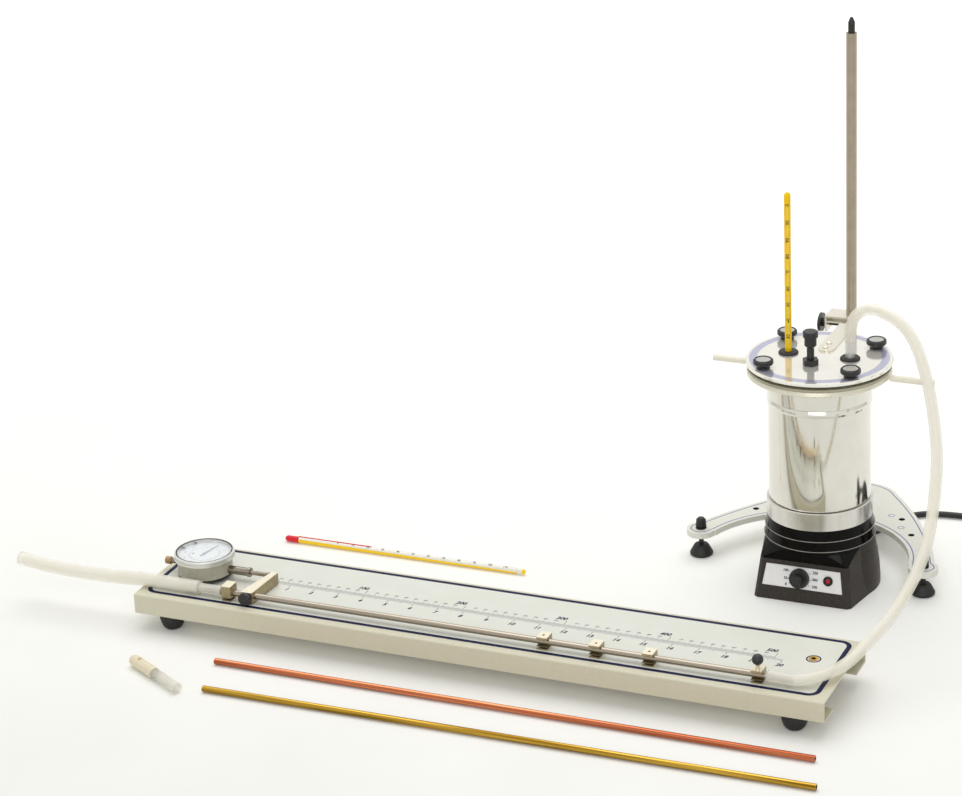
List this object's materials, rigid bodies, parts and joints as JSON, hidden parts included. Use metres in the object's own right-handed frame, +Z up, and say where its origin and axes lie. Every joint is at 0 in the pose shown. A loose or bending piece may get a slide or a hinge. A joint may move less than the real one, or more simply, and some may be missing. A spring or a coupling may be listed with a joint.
{
  "type": "linear dilatometer",
  "caption": "School linear dilatometer: bench with dial gauge, guided specimen tube and scale, fed by hose from an electric steam generator on a levelling stand.",
  "frame": {"origin": "on the table, under the middle of the set's box without its cord and hoses", "axes": "+X along the bench away from the dial gauge, +Y from the bench towards the steam generator, +Z up"},
  "size_m": [0.9358, 0.5847, 0.5206],
  "materials": {
    "beige_paint": "smooth light beige powder coat",
    "printed_plate": "satin printed plate, navy rim and scale",
    "black_rubber": "matt black rubber",
    "socket_brass": "turned brass",
    "gauge_grey": "grey enamel",
    "dark_back": "dark lacquered back",
    "satin_chrome": "satin chrome plate",
    "crystal": "clear crystal",
    "dial_white": "white dial with printed marks",
    "hand_black": "black lacquer",
    "wheel_brass": "machined brass",
    "spindle_steel": "ground steel",
    "nickel": "satin nickel plate",
    "knob_black": "matt black plastic",
    "hose_silicone": "translucent milky silicone",
    "heater_black": "gloss black enamel",
    "panel_white": "white printed panel",
    "lamp_red": "red lens",
    "turned_aluminium": "turned satin aluminium",
    "polished_aluminium": "mirror polished aluminium",
    "lid_steel": "polished steel, pale printed ring",
    "handle_beige": "beige sleeve",
    "thermometer_yellow": "glass rod with yellow back",
    "cord_black": "black cord",
    "copper": "drawn copper",
    "brass": "drawn brass",
    "connector_rubber": "beige rubber and clear sleeve"
  },
  "bodies": {
    "bench_and_generator": {"base_channel": "beige_paint", "scale_plate": "printed_plate", "bench_feet": "black_rubber", "bench_socket": "socket_brass", "gauge_back": "dark_back", "gauge_case": "gauge_grey", "gauge_stem": "satin_chrome", "outlet_guide": "nickel", "guide_clip_1": "nickel", "guide_clip_2": "nickel", "guide_clip_3": "nickel", "clamp_block": "nickel", "inlet_hose": "hose_silicone", "heater_housing": "heater_black", "heater_panel": "panel_white", "pilot_lamp": "lamp_red", "hot_plate": "turned_aluminium", "vessel": "polished_aluminium", "handles": "handle_beige", "gasket": "black_rubber", "lid": "lid_steel", "lid_grommets": "black_rubber", "safety_valve": "knob_black", "glass_tube": "crystal", "stand_plate": "beige_paint", "support_rod": "spindle_steel", "lid_bracket": "turned_aluminium", "strain_relief": "cord_black", "power_cord": "cord_black", "cord_coil": "cord_black", "plug": "cord_black", "copper_tube": "copper", "brass_tube": "brass", "spare_thermometer": "thermometer_yellow", "hose_connector": "connector_rubber"},
    "specimen_line": {"specimen_tube": "spindle_steel", "stop_arm": "nickel", "outlet_sleeve": "hose_silicone", "outlet_hose": "hose_silicone"},
    "gauge_spindle": {"spindle": "spindle_steel", "spindle_cap": "socket_brass"},
    "gauge_wheel": {"revolution_wheel": "wheel_brass"},
    "gauge_hand": {"long_hand": "hand_black"},
    "gauge_rim": {"gauge_bezel": "satin_chrome", "gauge_crystal": "crystal", "dial_face": "dial_white"},
    "first_limit_hand": {"limit_hand_1": "hand_black"},
    "second_limit_hand": {"limit_hand_2": "hand_black"},
    "arm_screw": {"stop_arm_screw": "knob_black"},
    "tube_clamp_screw": {"clamp_screw": "knob_black"},
    "temperature_knob": {"heater_knob": "knob_black"},
    "nut_1": {"lid_nut_1": "knob_black"},
    "nut_2": {"lid_nut_2": "knob_black"},
    "nut_3": {"lid_nut_3": "knob_black"},
    "nut_4": {"lid_nut_4": "knob_black"},
    "lid_thermometer": {"thermometer": "thermometer_yellow"},
    "level_1": {"levelling_foot_1": "black_rubber"},
    "level_2": {"levelling_foot_2": "black_rubber"},
    "level_3": {"levelling_foot_3": "black_rubber"},
    "bracket_screw": {"bracket_knob": "knob_black"}
  },
  "joints": [
    {"name": "specimen_expansion", "type": "slide", "parent": "bench_and_generator", "child": "specimen_line", "axis": [1, 0, 0], "range_m": [-0.008, 0.002]},
    {"name": "spindle_travel", "type": "slide", "parent": "bench_and_generator", "child": "gauge_spindle", "axis": [1, 0, 0], "range_m": [-0.008, 0.002]},
    {"name": "revolution_wheel_turn", "type": "hinge", "parent": "bench_and_generator", "child": "gauge_wheel", "pos_m": [-0.31217, -0.12653, 0.0493], "axis": [0, 0, 1], "range_deg": [-75, 290]},
    {"name": "long_hand_turn", "type": "hinge", "parent": "bench_and_generator", "child": "gauge_hand", "pos_m": [-0.30174, -0.12304, 0.0493], "axis": [0, 0, 1], "range_deg": [-2884, 724]},
    {"name": "bezel_turn", "type": "hinge", "parent": "bench_and_generator", "child": "gauge_rim", "pos_m": [-0.30174, -0.12304, 0.0573], "axis": [0, 0, 1], "continuous": true},
    {"name": "limit_hand_1_turn", "type": "hinge", "parent": "gauge_rim", "child": "first_limit_hand", "pos_m": [-0.30174, -0.12304, 0.0583], "axis": [0, 0, 1], "range_deg": [-25, 170]},
    {"name": "limit_hand_2_turn", "type": "hinge", "parent": "gauge_rim", "child": "second_limit_hand", "pos_m": [-0.30174, -0.12304, 0.0583], "axis": [0, 0, 1], "range_deg": [-170, 25]},
    {"name": "stop_arm_screw_turn", "type": "hinge", "parent": "specimen_line", "child": "arm_screw", "pos_m": [-0.23414, -0.17224, 0.043], "axis": [0, -1, 0], "continuous": true},
    {"name": "clamp_screw_turn", "type": "hinge", "parent": "bench_and_generator", "child": "tube_clamp_screw", "pos_m": [0.26176, -0.16324, 0.0575], "axis": [0, 0, 1], "continuous": true},
    {"name": "heater_knob_turn", "type": "hinge", "parent": "bench_and_generator", "child": "temperature_knob", "pos_m": [0.22376, 0.06848, 0.02269], "axis": [0, -0.9781, 0.2079], "range_deg": [-150, 150]},
    {"name": "lid_nut_1_turn", "type": "hinge", "parent": "bench_and_generator", "child": "nut_1", "pos_m": [0.27066, 0.15878, 0.23], "axis": [0, 0, 1], "continuous": true},
    {"name": "lid_nut_2_turn", "type": "hinge", "parent": "bench_and_generator", "child": "nut_2", "pos_m": [0.18387, 0.15878, 0.23], "axis": [0, 0, 1], "continuous": true},
    {"name": "lid_nut_3_turn", "type": "hinge", "parent": "bench_and_generator", "child": "nut_3", "pos_m": [0.1866, 0.0804, 0.23], "axis": [0, 0, 1], "continuous": true},
    {"name": "lid_nut_4_turn", "type": "hinge", "parent": "bench_and_generator", "child": "nut_4", "pos_m": [0.26932, 0.08184, 0.23], "axis": [0, 0, 1], "continuous": true},
    {"name": "thermometer_depth", "type": "slide", "parent": "bench_and_generator", "child": "lid_thermometer", "axis": [0, 0, 1], "range_m": [-0.02, 0.09]},
    {"name": "levelling_foot_1_turn", "type": "hinge", "parent": "bench_and_generator", "child": "level_1", "pos_m": [0.10185, 0.13718, 0.008], "axis": [0, 0, 1], "continuous": true},
    {"name": "levelling_foot_2_turn", "type": "hinge", "parent": "bench_and_generator", "child": "level_2", "pos_m": [0.32868, 0.11853, 0.008], "axis": [0, 0, 1], "continuous": true},
    {"name": "levelling_foot_3_turn", "type": "hinge", "parent": "bench_and_generator", "child": "level_3", "pos_m": [0.22682, 0.26838, 0.008], "axis": [0, 0, 1], "continuous": true},
    {"name": "bracket_knob_turn", "type": "hinge", "parent": "bench_and_generator", "child": "bracket_screw", "pos_m": [0.19726, 0.22664, 0.2187], "axis": [1, 0, 0], "continuous": true}
  ],
  "couplings": [
    {"joint": "spindle_travel", "follows": "specimen_expansion", "ratio": 1},
    {"joint": "revolution_wheel_turn", "follows": "specimen_expansion", "rad_per_m": -628.32},
    {"joint": "long_hand_turn", "follows": "specimen_expansion", "rad_per_m": 6283.2}
  ]
}
